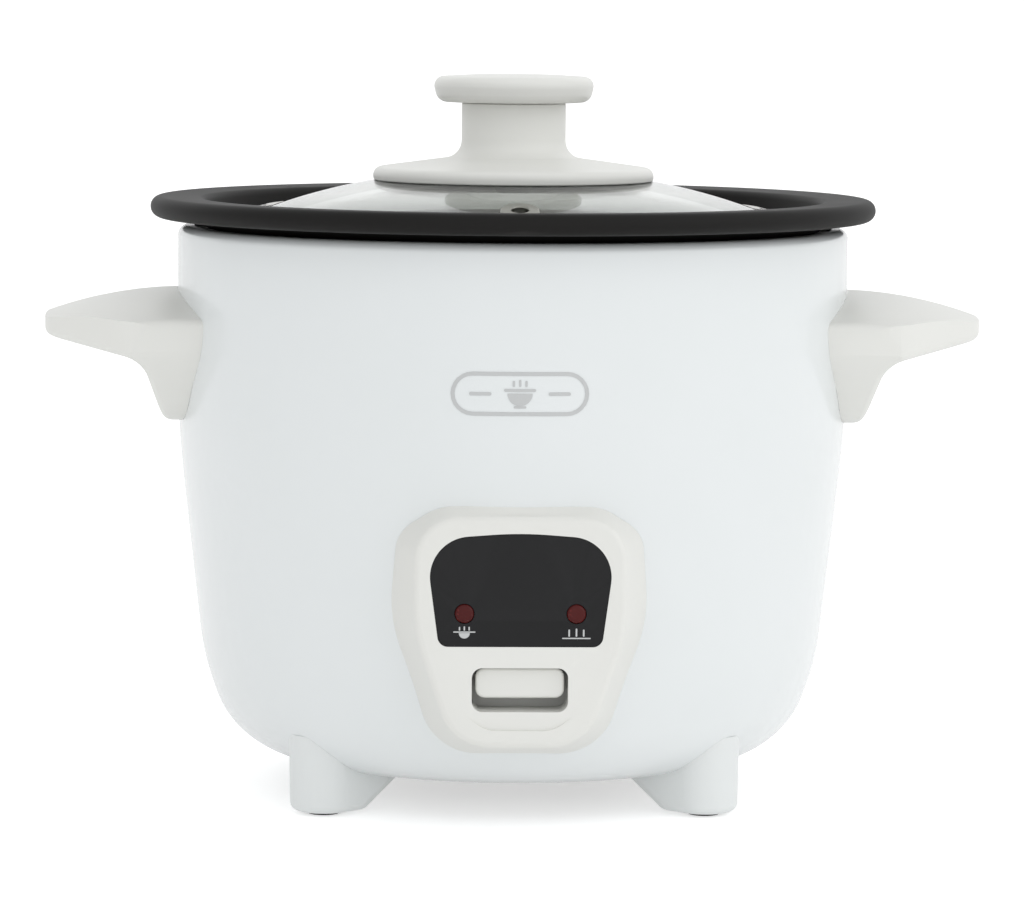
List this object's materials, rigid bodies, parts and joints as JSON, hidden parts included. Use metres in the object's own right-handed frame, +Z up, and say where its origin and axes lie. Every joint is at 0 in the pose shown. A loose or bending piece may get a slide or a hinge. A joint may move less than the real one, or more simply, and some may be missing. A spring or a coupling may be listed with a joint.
{
  "type": "rice cooker",
  "caption": "Small round rice cooker with a glass lid and knob, a lift-out non-stick pot, side handles, feet and a front panel with a tilting cook and warm lever.",
  "frame": {"origin": "on the table under the cooker's centre line, at the underside of the foot pads", "axes": "+Z up along the lid knob, -Y towards the control panel, +X through the right-hand handle as seen from the front"},
  "size_m": [0.2056, 0.16, 0.1581],
  "materials": {
    "shell_paint": "gloss",
    "bare_steel": "satin",
    "cast_aluminium": "cast and turned",
    "element_sheath": "dull",
    "insulator": "matt",
    "ferrite": "matt",
    "off_white_plastic": "satin",
    "black_plastic": "gloss",
    "dark_plastic": "satin",
    "red_lens": "clear gloss",
    "lamp_glass": "clear",
    "board": "matt",
    "pad_rubber": "matt",
    "brass_contact": "bright",
    "nonstick": "dark non-stick coating",
    "lid_pane": "clear gloss",
    "bright_steel": "polished"
  },
  "bodies": {
    "root": {"base_cover": "bare_steel", "bezel_screws": "bare_steel", "bracket_rivets": "bare_steel", "control_bezel": "off_white_plastic", "cover_screws": "bare_steel", "cup_screws": "bare_steel", "element_insulators": "insulator", "element_studs": "element_sheath", "foot_front_left": "off_white_plastic", "foot_front_right": "off_white_plastic", "foot_pads": "pad_rubber", "foot_rear_left": "off_white_plastic", "foot_rear_right": "off_white_plastic", "foot_screws": "bare_steel", "fuse_clip": "bare_steel", "handle_left": "off_white_plastic", "handle_right": "off_white_plastic", "handle_screws": "bare_steel", "heating_element": "element_sheath", "heating_plate": "cast_aluminium", "indicator_lamps": "lamp_glass", "inlet_housing": "black_plastic", "inlet_pins": "brass_contact", "inner_liner": "bare_steel", "lamp_board": "board", "lamp_lenses": "red_lens", "lever_pin": "bare_steel", "outer_shell": "shell_paint", "pin_clip": "bare_steel", "plate_screws": "bare_steel", "sensor_spring": "bare_steel", "switch_bracket": "bare_steel", "switch_case": "black_plastic", "switch_nut": "bare_steel", "switch_screw": "bare_steel", "switch_tabs": "brass_contact", "terminal_block": "dark_plastic", "terminal_screws": "brass_contact", "thermal_fuse": "insulator", "thermostat_cup": "bare_steel", "window_panel": "black_plastic"},
    "sensor": {"sensor_cap": "cast_aluminium", "sensor_ferrite": "ferrite"},
    "magnet": {"magnet_carrier": "bare_steel", "thermostat_magnet": "ferrite", "release_spring": "bare_steel"},
    "lever": {"switch_lever": "bare_steel", "lever_paddle": "off_white_plastic", "lever_shield": "off_white_plastic"},
    "plunger": {"switch_plunger": "dark_plastic"},
    "pot": {"cooking_pot": "nonstick"},
    "lid": {"lid_glass": "lid_pane", "lid_rim_band": "bright_steel", "steam_vent_eyelet": "bright_steel", "knob_base": "off_white_plastic", "knob_cap": "off_white_plastic", "knob_seal": "pad_rubber", "knob_washer": "bare_steel", "knob_screw": "bare_steel"}
  },
  "joints": [
    {"name": "pot_lift", "type": "slide", "parent": "root", "child": "pot", "axis": [0, 0, 1], "range_m": [0, 0.09]},
    {"name": "lid_lift", "type": "slide", "parent": "pot", "child": "lid", "axis": [0, 0, 1], "range_m": [0, 0.05]},
    {"name": "cook_lever", "type": "hinge", "parent": "root", "child": "lever", "pos_m": [0, -0.04, 0.033], "axis": [1, 0, 0], "range_deg": [0, 3.9], "stiffness_Nm_per_rad": 0.19, "springref_deg": -5.73},
    {"name": "magnet_rise", "type": "slide", "parent": "root", "child": "magnet", "axis": [0, 0, 1], "range_m": [0, 0.0028], "deforming": ["release_spring"]},
    {"name": "plunger_press", "type": "slide", "parent": "root", "child": "plunger", "axis": [0, 0, -1], "range_m": [0, 0.0012]},
    {"name": "sensor_plunge", "type": "slide", "parent": "root", "child": "sensor", "axis": [0, 0, 1], "range_m": [-0.0015, 0], "stiffness_N_per_m": 400, "springref_m": 0.003, "deforming": ["sensor_spring"]}
  ],
  "couplings": [
    {"joint": "magnet_rise", "follows": "cook_lever", "m_per_rad": 0.04},
    {"joint": "plunger_press", "follows": "cook_lever", "m_per_rad": 0.016}
  ]
}
